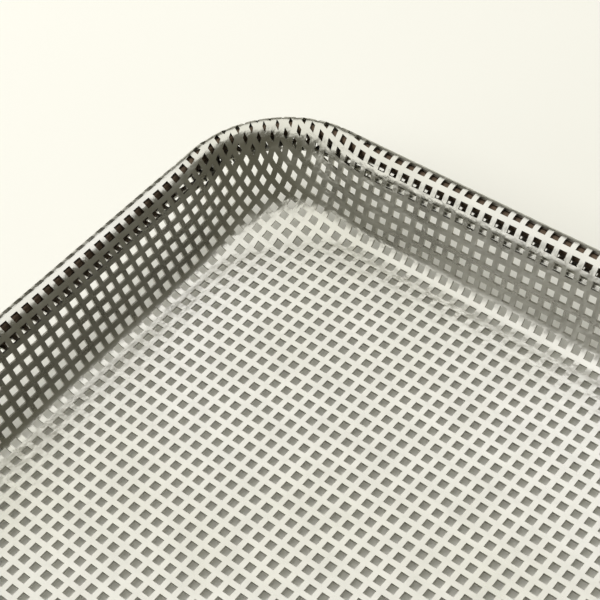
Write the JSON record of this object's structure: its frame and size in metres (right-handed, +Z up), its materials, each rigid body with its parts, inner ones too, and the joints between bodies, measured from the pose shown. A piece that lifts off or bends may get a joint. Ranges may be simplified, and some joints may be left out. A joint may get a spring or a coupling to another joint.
{
  "type": "perforated bakery tray",
  "caption": "Shallow rectangular bakery tray pressed from square-hole perforated steel, with leaning walls, rounded corners and a rim rolled round a wire.",
  "frame": {"origin": "middle of the floor's underside, on the surface that the tray stands on", "axes": "+X along the long side, +Y along the short side, +Z up out of the tray"},
  "size_m": [0.6, 0.4, 0.0324],
  "materials": {
    "sheet": "bright rolled stainless sheet, lightly scratched",
    "wire": "drawn steel wire, dulled by oven heat"
  },
  "bodies": {
    "root": {"pan": "sheet", "rim_wire": "wire"}
  },
  "joints": []
}
